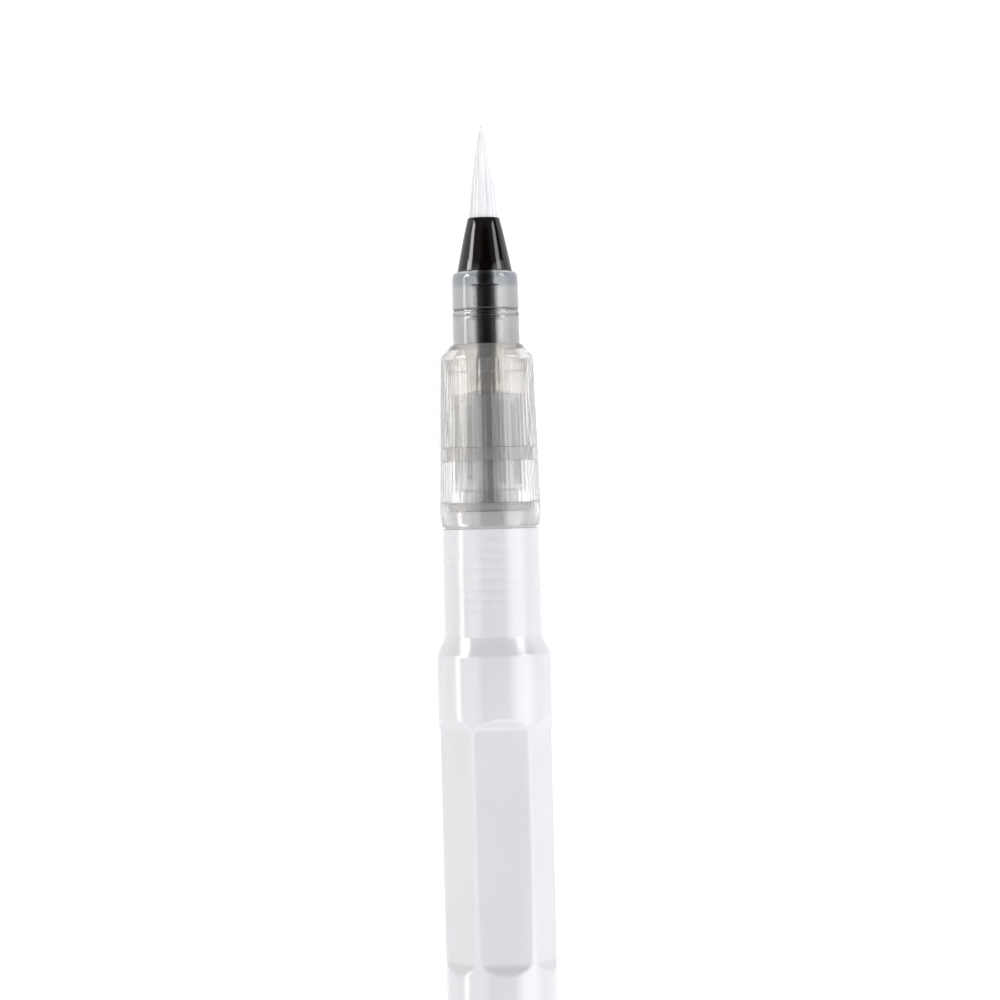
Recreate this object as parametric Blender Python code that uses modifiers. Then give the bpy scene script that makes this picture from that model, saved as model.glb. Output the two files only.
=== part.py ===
"""A water brush pen, uncapped, with its cap posted on its tail, lying along Y with the tip towards +Y.

The soft barrel holds water. The head screws into its neck: a threaded collar, a grip shell, a clear nozzle
and a black ferrule, with a feed core that leads the water through a regulator plug to the nylon tuft. A
sealing ring sits between the head and the neck. Each piece is its own object, and one parent empty places
them all on the pen's axis.

A station is a distance behind the brush tip, along the pen. Profiles are lists of (radius, station).
"""

import math

import bmesh
import bpy
from mathutils import Matrix

MM = 0.001
GAP = 0.08 * MM  # between pieces that fit each other closely
MERGE = 1e-6

# Driving dimensions: the diameters and stations that the rest of the pen is worked out from.
BARREL_RADIUS = 7.0 * MM
GRIP_TOP_RADIUS = 5.56 * MM
GRIP_BOTTOM_RADIUS = 6.13 * MM
NOZZLE_RADIUS = 4.04 * MM
FERRULE_MOUTH_RADIUS = 1.95 * MM
FERRULE_BASE_RADIUS = 3.38 * MM
TUFT_RADIUS = 1.76 * MM

MOUTH = 11.5 * MM  # the ferrule's mouth, where the tuft starts
FERRULE_BASE = 18.0 * MM
GRIP_TOP = 26.9 * MM
GRIP_JOINT = 41.0 * MM  # where the grip shell meets the threaded collar
GRIP_BOTTOM = 47.6 * MM
NECK_END = 62.4 * MM
SHOULDER_END = 64.5 * MM
TAIL_STEP = 138.0 * MM  # where the barrel steps down to the spigot that the cap posts on
TAIL_END = 150.8 * MM

BARREL_WALL = 0.85 * MM
LARGE_SEGMENTS = 32
SMALL_SEGMENTS = 24

# The recessed hexagon that the fingers squeeze.
FLAT_APOTHEM = 6.0 * MM
FLATS_START = 71.9 * MM
FLATS_END = 103.2 * MM
FLAT_RAMP = 2.0 * MM
FLAT_COUNT = 6

# The thread: a round bead on the collar, in a round groove in the neck.
PITCH = 1.25 * MM
THREAD_RADIUS = 4.58 * MM  # of the bead's centre line
BEAD_RADIUS = 0.4 * MM
GROOVE_RADIUS = 0.55 * MM
THREAD_START = 51.2 * MM
THREAD_END = THREAD_START + 7 * PITCH
GROOVE_START = THREAD_START - PITCH
GROOVE_END = THREAD_END + PITCH / 4
POINTS_PER_TURN = 20

# The neck, and the recess of the collar that holds the sealing ring and the neck's lip.
SPIGOT_RADIUS = 4.55 * MM
SPIGOT_BORE = 3.6 * MM
SPIGOT_END = 61.5 * MM
NECK_BORE = 4.75 * MM
NECK_RADIUS = 5.84 * MM
LIP_RADIUS = 5.55 * MM
LIP_BORE = 5.2 * MM
LIP_TOP = 47.2 * MM
RECESS_TOP = 46.1 * MM
RECESS_RADIUS = 5.65 * MM
RING_SECTION = 0.45 * MM
RING_RADIUS = 5.12 * MM

# The cap, posted on the tail.
CAP_WALL = 0.8 * MM
CAP_END_WALL = 1.2 * MM
CAP_DEPTH = 64.2 * MM
CAP_MOUTH = TAIL_STEP + 0.3 * MM
CAP_FLOOR = CAP_MOUTH + CAP_DEPTH
CAP_END = CAP_FLOOR + CAP_END_WALL
CAP_BORE = BARREL_RADIUS - CAP_WALL
SEAL_LENGTH = 27.2 * MM
CLIP_WIDTH = 4.6 * MM
CLIP_LENGTH = 36.0 * MM
CLIP_THICKNESS = 1.3 * MM
CLIP_LIFT = 1.5 * MM

# The pen lies on one facet of its barrel and cap, centred on the origin along Y.
AXIS_HEIGHT = BARREL_RADIUS * math.cos(math.pi / LARGE_SEGMENTS)
TIP_Y = CAP_END / 2

PLASTICS = {
    "nylon": {"colour": (0.94, 0.93, 0.88), "roughness": 0.55, "transmission": 0.0},
    "black": {"colour": (0.012, 0.011, 0.011), "roughness": 0.18, "transmission": 0.0},
    "clear": {"colour": (0.93, 0.95, 0.96), "roughness": 0.05, "transmission": 0.9},
    "frosted": {"colour": (0.86, 0.86, 0.85), "roughness": 0.35, "transmission": 0.7},
    "milky": {"colour": (0.86, 0.86, 0.9), "roughness": 0.4, "transmission": 0.3},
    "dark_grey": {"colour": (0.1, 0.11, 0.12), "roughness": 0.4, "transmission": 0.0},
    "rubber": {"colour": (0.03, 0.03, 0.03), "roughness": 0.7, "transmission": 0.0},
}


def clear_scene():
    for obj in list(bpy.data.objects):
        bpy.data.objects.remove(obj, do_unlink=True)


def new_collection(name):
    collection = bpy.data.collections.new(name)
    bpy.context.scene.collection.children.link(collection)
    return collection


def finish(obj, plastic):
    """Gives the object a Principled material of its own, in one of the plastics listed in PLASTICS."""
    look = PLASTICS[plastic]
    material = bpy.data.materials.new(f"{obj.name}_{plastic}")
    material.use_nodes = True
    shader = material.node_tree.nodes["Principled BSDF"]
    shader.inputs["Base Color"].default_value = (*look["colour"], 1.0)
    shader.inputs["Roughness"].default_value = look["roughness"]
    shader.inputs["Transmission Weight"].default_value = look["transmission"]
    shader.inputs["Metallic"].default_value = 0.0
    obj.data.materials.append(material)


def place(obj, collection, parent):
    collection.objects.link(obj)
    obj.parent = parent
    return obj


def turned(name, profile, segments, origin=0.0):
    """A solid turned about the pen's axis. The profile runs down the outer side, and back up any bore."""
    mesh = bpy.data.meshes.new(name)
    points = [(radius, 0.0, origin - station) for radius, station in profile]
    edges = [(i, i + 1) for i in range(len(points) - 1)]
    if profile[0][0] > 0:
        edges.append((len(points) - 1, 0))
    mesh.from_pydata(points, edges, [])
    obj = bpy.data.objects.new(name, mesh)
    obj.location.z = -origin
    obj.rotation_euler.z = math.pi / segments
    screw = obj.modifiers.new("turn", "SCREW")
    screw.steps = segments
    screw.render_steps = segments
    screw.use_merge_vertices = True
    screw.merge_threshold = MERGE
    return obj


def mesh_of_curve(curve_object, collection):
    """The curve object's solid as a mesh object, with its caps welded. The curve is removed."""
    bpy.context.view_layer.update()
    graph = bpy.context.evaluated_depsgraph_get()
    evaluated = curve_object.evaluated_get(graph)
    mesh = bpy.data.meshes.new_from_object(evaluated)
    edit = bmesh.new()
    edit.from_mesh(mesh)
    bmesh.ops.remove_doubles(edit, verts=edit.verts, dist=MERGE)
    bmesh.ops.recalc_face_normals(edit, faces=edit.faces)
    edit.to_mesh(mesh)
    edit.free()
    name = curve_object.name
    world = curve_object.matrix_world.copy()
    bpy.data.objects.remove(curve_object, do_unlink=True)
    obj = bpy.data.objects.new(name, mesh)
    collection.objects.link(obj)
    obj.matrix_world = world
    return obj


def helper(obj):
    """Marks a cutter, or a shape that is joined into another one."""
    obj.hide_render = True
    obj.display_type = "WIRE"
    return obj


def boolean(obj, other, operation):
    modifier = obj.modifiers.new(f"{operation.lower()} {other.name}", "BOOLEAN")
    modifier.operation = operation
    modifier.solver = "EXACT"
    if isinstance(other, bpy.types.Collection):
        modifier.operand_type = "COLLECTION"
        modifier.collection = other
    else:
        modifier.object = other


def arc(centre, radius, start, end, steps):
    """Points (radius, station) on an arc. Angles are in degrees, 0 outwards and 90 towards the tail."""
    angles = [math.radians(start + (end - start) * i / steps) for i in range(steps + 1)]
    return [(centre[0] + radius * math.cos(a), centre[1] + radius * math.sin(a)) for a in angles]


def helix(name, bead, first, last, collection, parent):
    """A right-handed helical rod on the thread's centre line, between two stations, thinner at its ends."""
    curve = bpy.data.curves.new(name, "CURVE")
    curve.dimensions = "3D"
    curve.bevel_depth = bead
    curve.bevel_resolution = 2
    curve.use_fill_caps = True
    spline = curve.splines.new("POLY")
    steps = round((last - first) / PITCH * POINTS_PER_TURN)
    spline.points.add(steps)
    taper = POINTS_PER_TURN / 4
    end_scale = 0.45
    for i, point in enumerate(spline.points):
        station = last - PITCH * i / POINTS_PER_TURN
        angle = 2 * math.pi * (THREAD_START - station) / PITCH
        point.co = (THREAD_RADIUS * math.cos(angle), THREAD_RADIUS * math.sin(angle), -station, 1.0)
        point.radius = min(1.0, end_scale + i / taper, end_scale + (steps - i) / taper)
    obj = place(bpy.data.objects.new(name, curve), collection, parent)
    return helper(mesh_of_curve(obj, collection))


def tuft(parent, parts):
    """The nylon filaments outside the ferrule: a pointed body on a round heel that tilts in the mouth."""
    rings = 10
    power = 0.64  # of the outline, whose radius grows fast behind the point and slowly at the mouth
    crowding = 1.6  # of the rings, which lie closer together near the point
    profile = [(0.0, 0.0)]
    for i in range(1, rings + 1):
        share = (i / rings) ** crowding
        profile.append((TUFT_RADIUS * share**power, MOUTH * share))
    heel = arc((0.0, MOUTH), TUFT_RADIUS, 0, 90, 5)[1:-1]
    profile += heel + [(0.0, MOUTH + TUFT_RADIUS)]
    obj = turned("bristle_tuft", profile, SMALL_SEGMENTS, origin=MOUTH)
    finish(obj, "nylon")
    return place(obj, parts, parent)


def tuft_root(parent, parts):
    """The tuft's bound root. The nozzle's nose presses its fused flange against the ferrule's shoulder."""
    top = MOUTH + TUFT_RADIUS + 0.25 * MM
    flange = 14.35 * MM
    flange_radius = 2.0 * MM
    bottom = 14.85 * MM
    hole = 0.55 * MM
    profile = [
        (TUFT_RADIUS, top),
        (TUFT_RADIUS, flange),
        (flange_radius, flange),
        (flange_radius, bottom),
        (hole, bottom),
        (hole, top),
    ]
    obj = turned("tuft_root", profile, SMALL_SEGMENTS)
    finish(obj, "nylon")
    return place(obj, parts, parent)


def ferrule(parent, parts):
    """The black nose cone."""
    bore = TUFT_RADIUS + 0.06 * MM
    lip = 0.06 * MM
    middle = 14.7 * MM  # where the cone's slope turns a little less steep
    middle_radius = 2.68 * MM
    shoulder = 14.27 * MM
    pocket = 2.08 * MM
    spigot_top = 14.92 * MM
    base_bore = 2.8 * MM
    profile = [
        (bore + lip, MOUTH),
        (FERRULE_MOUTH_RADIUS - lip / 2, MOUTH),
        (FERRULE_MOUTH_RADIUS, MOUTH + lip / 2),
        (middle_radius, middle),
        (FERRULE_BASE_RADIUS, FERRULE_BASE),
        (base_bore, FERRULE_BASE),
        (pocket, spigot_top),
        (pocket, shoulder),
        (bore, shoulder),
        (bore, MOUTH + lip),
    ]
    obj = turned("ferrule_cone", profile, SMALL_SEGMENTS)
    finish(obj, "black")
    return place(obj, parts, parent)


def nozzle(parent, parts):
    """The clear tube: a nose inside the ferrule, a rounded collar, and a flange inside the grip."""
    nose_top = 15.0 * MM
    nose_radius = 1.95 * MM
    nose_base_radius = 2.68 * MM
    collar_top = FERRULE_BASE + 0.05 * MM
    collar_round = 0.6 * MM
    needle_bore = 0.6 * MM
    needle_bore_end = 15.3 * MM
    neck_bore = 1.08 * MM
    neck_bore_top = 16.0 * MM
    neck_bore_end = 19.6 * MM
    bore = 1.5 * MM
    bore_top = 19.8 * MM
    groove = 22.8 * MM
    groove_depth = 0.1 * MM
    groove_reach = 0.2 * MM
    taper = 0.03 * MM
    flange_radius = 4.85 * MM
    flange_top = 28.9 * MM
    flange_bottom = 30.2 * MM
    tail_radius = 3.0 * MM
    tail_end = 32.6 * MM
    profile = [(needle_bore, nose_top), (nose_radius, nose_top), (nose_base_radius, collar_top)]
    profile += arc((NOZZLE_RADIUS - collar_round, collar_top + collar_round), collar_round, -90, 0, 3)
    profile += [
        (NOZZLE_RADIUS, groove - groove_reach),
        (NOZZLE_RADIUS - groove_depth, groove),
        (NOZZLE_RADIUS, groove + groove_reach),
        (NOZZLE_RADIUS + taper, flange_top),
        (flange_radius, flange_top),
        (flange_radius, flange_bottom),
        (tail_radius, flange_bottom),
        (tail_radius, tail_end),
        (bore, tail_end),
        (bore, bore_top),
        (neck_bore, neck_bore_end),
        (neck_bore, neck_bore_top),
        (needle_bore, needle_bore_end),
    ]
    obj = turned("nozzle", profile, SMALL_SEGMENTS)
    finish(obj, "clear")
    return place(obj, parts, parent)


def feed_core(parent, parts, cutters):
    """The rod that leads water from the barrel to the tuft, by a capillary slit down its side."""
    needle = 0.42 * MM
    needle_top = 13.5 * MM
    needle_end = 15.5 * MM
    neck_radius = 0.96 * MM
    neck_top = 16.3 * MM
    neck_end = 19.75 * MM
    front_radius = 1.2 * MM
    front_top = 20.0 * MM
    rear_radius = 1.0 * MM
    step = 31.0 * MM
    slit_top = 20.2 * MM
    slit_floor = 0.7 * MM
    slit_depth = 1.2 * MM
    slit_width = 0.35 * MM
    end = 53.0 * MM
    end_chamfer = 0.3 * MM
    profile = [
        (0.0, needle_top),
        (needle, needle_top + 0.3 * MM),
        (needle, needle_end),
        (neck_radius, neck_top),
        (neck_radius, neck_end),
        (front_radius, front_top),
        (front_radius, step),
        (rear_radius, step + 0.4 * MM),
        (rear_radius, end - end_chamfer),
        (rear_radius - end_chamfer, end),
        (0.0, end),
    ]
    obj = turned("feed_core", profile, SMALL_SEGMENTS // 2)
    finish(obj, "black")
    middle = -(slit_top + end / 2)
    across = slit_floor + slit_depth / 2
    slit = box("capillary_slit", (slit_depth, slit_width, end), (across, 0.0, middle))
    place(helper(slit), cutters, parent)
    boolean(obj, slit, "DIFFERENCE")
    return place(obj, parts, parent)


def box(name, size, centre):
    """A box of that size about that point, in the pen's own axes."""
    mesh = bpy.data.meshes.new(name)
    edit = bmesh.new()
    bmesh.ops.create_cube(edit, size=1.0)
    bmesh.ops.scale(edit, vec=size, verts=edit.verts)
    edit.to_mesh(mesh)
    edit.free()
    obj = bpy.data.objects.new(name, mesh)
    obj.location = centre
    return obj


def regulator_plug(parent, parts):
    """The finned plug round the feed core that lets water out slowly, with an open channel on top."""
    fins = 14
    body_radius = 4.3 * MM
    stem_radius = 3.5 * MM
    bore = 1.12 * MM
    top = 32.9 * MM
    stem_top = 44.6 * MM
    end = 47.5 * MM
    chamfer = 0.3 * MM
    margin = 1.2 * MM  # from a slot's end to the body's
    slot_depth = 0.8 * MM
    slot_width = 0.7 * MM
    channel_width = 1.8 * MM
    channel_reach = body_radius + 0.4 * MM
    profile = [
        (bore, top),
        (body_radius - chamfer, top),
        (body_radius, top + chamfer),
        (body_radius, stem_top),
        (stem_radius, stem_top),
        (stem_radius, end),
        (bore, end),
    ]
    obj = turned("regulator_plug", profile, SMALL_SEGMENTS)
    finish(obj, "dark_grey")
    slots = new_collection("regulator slots")
    channel_middle = (0.0, -channel_reach / 2, -(top + end) / 2)
    channel = box("channel", (channel_width, channel_reach, 2 * (end - top)), channel_middle)
    place(helper(channel), slots, parent)
    length = stem_top - top - 2 * margin
    middle = -(top + stem_top) / 2
    for i in range(fins):
        angle = 2 * math.pi * i / fins
        slot = box(f"slot_{i}", (2 * slot_depth, slot_width, length), (0.0, 0.0, middle))
        slot.rotation_euler.z = angle
        slot.location.x = body_radius * math.cos(angle)
        slot.location.y = body_radius * math.sin(angle)
        place(helper(slot), slots, parent)
    boolean(obj, slots, "DIFFERENCE")
    return place(obj, parts, parent)


def grip_shell(parent, parts):
    """The frosted shell that the nozzle stands out of."""
    neck_bore = NOZZLE_RADIUS + 0.1 * MM
    rim_radius = 4.3 * MM
    shoulder = 28.55 * MM
    chamfer = 0.1 * MM
    wall_bottom = 28.75 * MM
    bore = 5.0 * MM
    bore_taper = 0.1 * MM
    shoulder_rise = 0.35 * MM
    shoulder_inset = 0.08 * MM
    socket_radius = 5.28 * MM
    socket_top = 39.4 * MM
    joint_radius = grip_radius(GRIP_JOINT)
    profile = [
        (neck_bore, GRIP_TOP),
        (rim_radius, GRIP_TOP),
        (GRIP_TOP_RADIUS - shoulder_inset, shoulder - shoulder_rise),
        (grip_radius(shoulder), shoulder),
        (joint_radius, GRIP_JOINT - chamfer),
        (joint_radius - chamfer, GRIP_JOINT),
        (socket_radius, GRIP_JOINT),
        (socket_radius, socket_top),
        (bore - bore_taper, socket_top),
        (bore, wall_bottom),
        (neck_bore, wall_bottom),
    ]
    obj = turned("grip_shell", profile, LARGE_SEGMENTS)
    finish(obj, "frosted")
    return place(obj, parts, parent)


def grip_radius(station):
    """The grip's outside, a straight taper across its two shells."""
    share = (station - GRIP_TOP) / (GRIP_BOTTOM - GRIP_TOP)
    return GRIP_TOP_RADIUS + (GRIP_BOTTOM_RADIUS - GRIP_TOP_RADIUS) * share


def thread_collar(parent, parts, cutters):
    """The grip's rear shell, with the threaded spigot that screws into the barrel's neck."""
    socket_fit = 5.2 * MM
    socket_top = 39.5 * MM
    plug_bore = 4.45 * MM
    plug_seat = 44.8 * MM
    top = GRIP_JOINT + GAP
    outer = grip_radius(top)
    chamfer = 0.1 * MM
    skirt_end = GRIP_BOTTOM + 1.4 * MM
    skirt_radius = 5.9 * MM
    end_chamfer = 0.3 * MM
    profile = [
        (plug_bore, socket_top),
        (socket_fit, socket_top),
        (socket_fit, top),
        (outer - chamfer, top),
        (outer, top + chamfer),
        (GRIP_BOTTOM_RADIUS, GRIP_BOTTOM),
        (skirt_radius, skirt_end),
        (RECESS_RADIUS, skirt_end),
        (RECESS_RADIUS, RECESS_TOP),
        (SPIGOT_RADIUS, RECESS_TOP),
        (SPIGOT_RADIUS, SPIGOT_END - end_chamfer),
        (SPIGOT_RADIUS - end_chamfer, SPIGOT_END),
        (SPIGOT_BORE, SPIGOT_END),
        (SPIGOT_BORE, plug_seat),
        (plug_bore, plug_seat),
    ]
    obj = turned("thread_collar", profile, LARGE_SEGMENTS)
    finish(obj, "frosted")
    bead = helix("thread_bead", BEAD_RADIUS, THREAD_START, THREAD_END, cutters, parent)
    boolean(obj, bead, "UNION")
    return place(obj, parts, parent)


def seal_ring(parent, parts):
    """The rubber ring in the collar's recess, which the neck's lip closes on."""
    centre = (RING_RADIUS, RECESS_TOP + RING_SECTION + 0.05 * MM)
    section = arc(centre, RING_SECTION, -90, 270, 8)[:-1]
    obj = turned("seal_ring", section, SMALL_SEGMENTS)
    finish(obj, "rubber")
    return place(obj, parts, parent)


def flats(name, apothem, parent, cutters_parent):
    """Six cutters round the barrel, each leaving a flat with a ramp at both ends."""
    group = bpy.data.collections.new(name)
    cutters_parent.children.link(group)
    depth = 2.4 * MM
    slope = FLAT_RAMP / (BARREL_RADIUS - FLAT_APOTHEM)
    length = FLATS_END - FLATS_START - 2 * FLAT_RAMP
    flare = (length + 2 * depth * slope) / length
    for i in range(FLAT_COUNT):
        angle = math.radians(30 + 60 * i)
        cutter = box(f"{name}_{i}", (depth, 2 * BARREL_RADIUS, length), (0.0, 0.0, 0.0))
        for vertex in cutter.data.vertices:
            if vertex.co.x > 0:
                vertex.co.z *= flare
        distance = apothem + depth / 2
        middle = -(FLATS_START + FLATS_END) / 2
        cutter.location = (distance * math.cos(angle), distance * math.sin(angle), middle)
        cutter.rotation_euler.z = angle
        place(helper(cutter), group, parent)
    return group


def barrel_radius(station):
    """The barrel's outside: straight behind the shoulder, then a slight taper to the tail."""
    tail_radius = 6.42 * MM
    share = max(0.0, (station - FLATS_START) / (TAIL_STEP - FLATS_START))
    return BARREL_RADIUS + (tail_radius - BARREL_RADIUS) * share


def barrel_stations():
    """Stations along the tapered body."""
    return [SHOULDER_END + 0.4 * MM, FLATS_START, FLATS_END, TAIL_STEP]


def reservoir(parent, parts, cutters):
    """The soft one-piece barrel: neck with an inner thread, shoulder, squeezed hexagon, and closed tail."""
    tail_radius = 6.08 * MM
    tail_round = 1.0 * MM
    floor = 1.0 * MM
    spigot_bore = tail_radius - BARREL_WALL
    chamfer = 0.1 * MM
    neck_top = 49.2 * MM  # where the outside steps out, behind the collar's skirt
    neck_taper = 0.12 * MM
    lip_bore_end = 50.1 * MM
    thread_bore_top = 50.5 * MM
    open_end = LIP_TOP - 1 * MM
    outside = [(0.0, LIP_TOP), (LIP_RADIUS - chamfer, LIP_TOP), (LIP_RADIUS, LIP_TOP + chamfer)]
    outside += [(LIP_RADIUS, neck_top), (NECK_RADIUS, neck_top + 0.05 * MM)]
    outside += [(NECK_RADIUS + neck_taper, NECK_END), (BARREL_RADIUS - chamfer, SHOULDER_END)]
    outside += [(barrel_radius(s), s) for s in barrel_stations()]
    outside += [(tail_radius, TAIL_STEP + 0.15 * MM)]
    outside += arc((tail_radius - tail_round, TAIL_END - tail_round), tail_round, 0, 90, 3)
    outside += [(0.0, TAIL_END)]

    inside = [(0.0, open_end), (LIP_BORE, open_end), (LIP_BORE, lip_bore_end)]
    inside += [(NECK_BORE, thread_bore_top), (NECK_BORE, NECK_END - 0.3 * MM)]
    inside += [(BARREL_RADIUS - BARREL_WALL, SHOULDER_END + 1.2 * MM)]
    inside += [(barrel_radius(s) - BARREL_WALL, s) for s in barrel_stations()[1:]]
    inside += [(spigot_bore, TAIL_STEP + 0.5 * MM), (spigot_bore, TAIL_END - 2 * floor)]
    inside += [(spigot_bore - BARREL_WALL, TAIL_END - floor), (0.0, TAIL_END - floor)]

    obj = turned("reservoir_barrel", outside, LARGE_SEGMENTS)
    finish(obj, "milky")
    cavity = place(helper(turned("cavity", inside, LARGE_SEGMENTS)), cutters, parent)
    boolean(obj, flats("outer_flat", FLAT_APOTHEM, parent, cutters), "DIFFERENCE")
    boolean(cavity, flats("inner_flat", FLAT_APOTHEM - BARREL_WALL, parent, cutters), "DIFFERENCE")
    boolean(obj, cavity, "DIFFERENCE")
    groove = helix("thread_groove", GROOVE_RADIUS, GROOVE_START, GROOVE_END, cutters, parent)
    boolean(obj, groove, "DIFFERENCE")
    return place(obj, parts, parent)


def clip(parent, cutters):
    """The cap's clip: an arm that springs from the closed end and ends in a bump over the cap."""
    surface = BARREL_RADIUS
    root = -CAP_END + 0.5 * MM
    tip = root + CLIP_LENGTH
    low = surface + CLIP_LIFT
    high = low + CLIP_THICKNESS
    outline = [
        (root, surface - 0.4 * MM),
        (root + 3.2 * MM, surface - 0.4 * MM),
        (root + 3.6 * MM, low),
        (tip - 4.0 * MM, low),
        (tip - 2.6 * MM, surface + 0.35 * MM),
        (tip - 1.2 * MM, surface + 0.35 * MM),
        (tip, low + 0.5 * MM),
        (tip, high),
        (root + 1.6 * MM, high),
        (root, low),
    ]
    curve = bpy.data.curves.new("clip_arm", "CURVE")
    curve.dimensions = "2D"
    curve.fill_mode = "BOTH"
    curve.extrude = CLIP_WIDTH / 2
    spline = curve.splines.new("POLY")
    spline.points.add(len(outline) - 1)
    for point, (along, up) in zip(spline.points, outline):
        point.co = (along, up, 0.0, 1.0)
    spline.use_cyclic_u = True
    obj = place(bpy.data.objects.new("clip_arm", curve), cutters, parent)
    obj.rotation_euler = Matrix(((0, 0, 1), (0, -1, 0), (1, 0, 0))).to_euler()
    return helper(mesh_of_curve(obj, cutters))


def cap(parent, parts, cutters):
    """The clear cap with its clip, mouth towards the tip."""
    edge = 1.0 * MM
    lip = 0.15 * MM
    above = CAP_MOUTH - 1 * MM
    outside = [(0.0, CAP_MOUTH), (BARREL_RADIUS - lip, CAP_MOUTH), (BARREL_RADIUS, CAP_MOUTH + lip)]
    outside += arc((BARREL_RADIUS - edge, CAP_END - edge), edge, 0, 90, 3)
    outside += [(0.0, CAP_END)]
    inside = [(0.0, above), (CAP_BORE, above), (CAP_BORE, CAP_FLOOR), (0.0, CAP_FLOOR)]
    obj = turned("cap", outside, LARGE_SEGMENTS)
    finish(obj, "clear")
    boolean(obj, clip(parent, cutters), "UNION")
    bore = place(helper(turned("cap_bore", inside, LARGE_SEGMENTS)), cutters, parent)
    boolean(obj, bore, "DIFFERENCE")
    return place(obj, parts, parent)


def cap_inner_seal(parent, parts):
    """The cup in the cap's closed end that seals on the nozzle and keeps the tuft damp."""
    back = CAP_FLOOR - GAP
    flange_radius = CAP_BORE - 0.12 * MM
    floor = 0.8 * MM
    outer = 4.8 * MM
    inner = NOZZLE_RADIUS + 0.13 * MM
    mouth = back - SEAL_LENGTH
    inside = back - floor
    profile = [
        (0.0, inside),
        (inner, inside),
        (inner, mouth + 0.4 * MM),
        (inner + 0.2 * MM, mouth),
        (outer, mouth),
        (outer, inside),
        (flange_radius, inside),
        (flange_radius, back),
        (0.0, back),
    ]
    obj = turned("cap_inner_seal", profile, LARGE_SEGMENTS)
    finish(obj, "frosted")
    return place(obj, parts, parent)


def build():
    clear_scene()
    parts = new_collection("water_brush_pen")
    cutters = new_collection("cutters")
    axis = bpy.data.objects.new("pen_axis", None)
    parts.objects.link(axis)
    axis.location = (0.0, TIP_Y, AXIS_HEIGHT)
    axis.rotation_euler.x = -math.pi / 2
    tuft(axis, parts)
    tuft_root(axis, parts)
    ferrule(axis, parts)
    nozzle(axis, parts)
    feed_core(axis, parts, cutters)
    regulator_plug(axis, parts)
    grip_shell(axis, parts)
    thread_collar(axis, parts, cutters)
    seal_ring(axis, parts)
    reservoir(axis, parts, cutters)
    cap(axis, parts, cutters)
    cap_inner_seal(axis, parts)


build()
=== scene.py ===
"""The looks of the water brush: turned and ribbed skins round the pen's axis, three hundred nylon
filaments, the plastics that they are made of, and the studio.

A station is a distance behind the brush tip, along the pen. Radii and stations are in millimetres
here, because the pen's parts are small, and become metres where the meshes are made. Angle 0 is to
the pen's right, and 90 degrees is up.
"""

import math
import random

import bmesh
import bpy
import numpy as np
from mathutils import Matrix, Vector

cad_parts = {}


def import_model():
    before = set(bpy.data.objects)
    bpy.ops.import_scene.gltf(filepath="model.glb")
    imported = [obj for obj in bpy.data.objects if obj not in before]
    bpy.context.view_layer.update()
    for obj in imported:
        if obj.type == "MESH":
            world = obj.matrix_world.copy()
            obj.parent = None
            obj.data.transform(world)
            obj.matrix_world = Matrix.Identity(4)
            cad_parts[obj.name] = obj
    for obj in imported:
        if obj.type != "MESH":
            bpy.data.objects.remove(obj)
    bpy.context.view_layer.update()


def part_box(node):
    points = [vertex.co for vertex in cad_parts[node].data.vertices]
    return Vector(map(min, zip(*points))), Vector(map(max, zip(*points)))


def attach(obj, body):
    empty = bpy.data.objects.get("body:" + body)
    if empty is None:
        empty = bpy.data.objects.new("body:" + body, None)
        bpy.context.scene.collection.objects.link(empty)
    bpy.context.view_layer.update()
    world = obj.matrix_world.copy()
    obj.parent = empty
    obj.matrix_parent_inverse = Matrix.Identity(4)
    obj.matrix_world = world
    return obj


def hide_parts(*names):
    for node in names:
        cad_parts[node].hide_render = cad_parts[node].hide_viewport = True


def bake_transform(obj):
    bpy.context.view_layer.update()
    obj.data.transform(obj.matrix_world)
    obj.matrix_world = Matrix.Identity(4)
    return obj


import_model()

MM = 0.001
TIP_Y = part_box("bristle_tuft")[1].y
AXIS_HEIGHT = sum(corner.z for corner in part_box("grip_shell")) / 2


def front(node):
    """The station of a CAD node's end towards the tip."""
    return (TIP_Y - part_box(node)[1].y) / MM


def back(node):
    """The station of a CAD node's end towards the tail."""
    return (TIP_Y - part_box(node)[0].y) / MM


def half_width(node):
    """A CAD node's largest radius."""
    low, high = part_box(node)
    return (high.x - low.x) / 2 / MM


MOUTH = front("ferrule_cone")
FERRULE_BASE = back("ferrule_cone")
GRIP_TOP = front("grip_shell")
GRIP_JOINT = back("grip_shell")
LIP_TOP = front("reservoir_barrel")
TAIL_END = back("reservoir_barrel")
CAP_MOUTH = front("cap")
CAP_END = back("cap")
BARREL_RADIUS = half_width("reservoir_barrel")
FERRULE_RADIUS = half_width("ferrule_cone")
SPIGOT_END = back("thread_collar")

# Diameters and stations that no node's box gives.
NOZZLE_RADIUS = 4.04
TUFT_RADIUS = 1.8
GRIP_TOP_RADIUS = 5.56
GRIP_BOTTOM_RADIUS = 6.13
GRIP_BOTTOM = 47.6
NECK_END = 62.4
SHOULDER_END = 64.5
TAIL_STEP = 138.0
TAIL_STEP_RADIUS = 6.42
FLATS_START = 71.9
FLATS_END = 103.2
FLAT_APOTHEM = 6.0
BARREL_WALL = 0.85
PITCH = 1.25
THREAD_START = 51.2
THREAD_END = THREAD_START + 7 * PITCH


# --- Meshes ---------------------------------------------------------------------------------------


def world(radius, angle, station):
    """The point in metres at that radius, angle and station."""
    return (
        radius * math.cos(angle) * MM,
        TIP_Y - station * MM,
        AXIS_HEIGHT + radius * math.sin(angle) * MM,
    )


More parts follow.
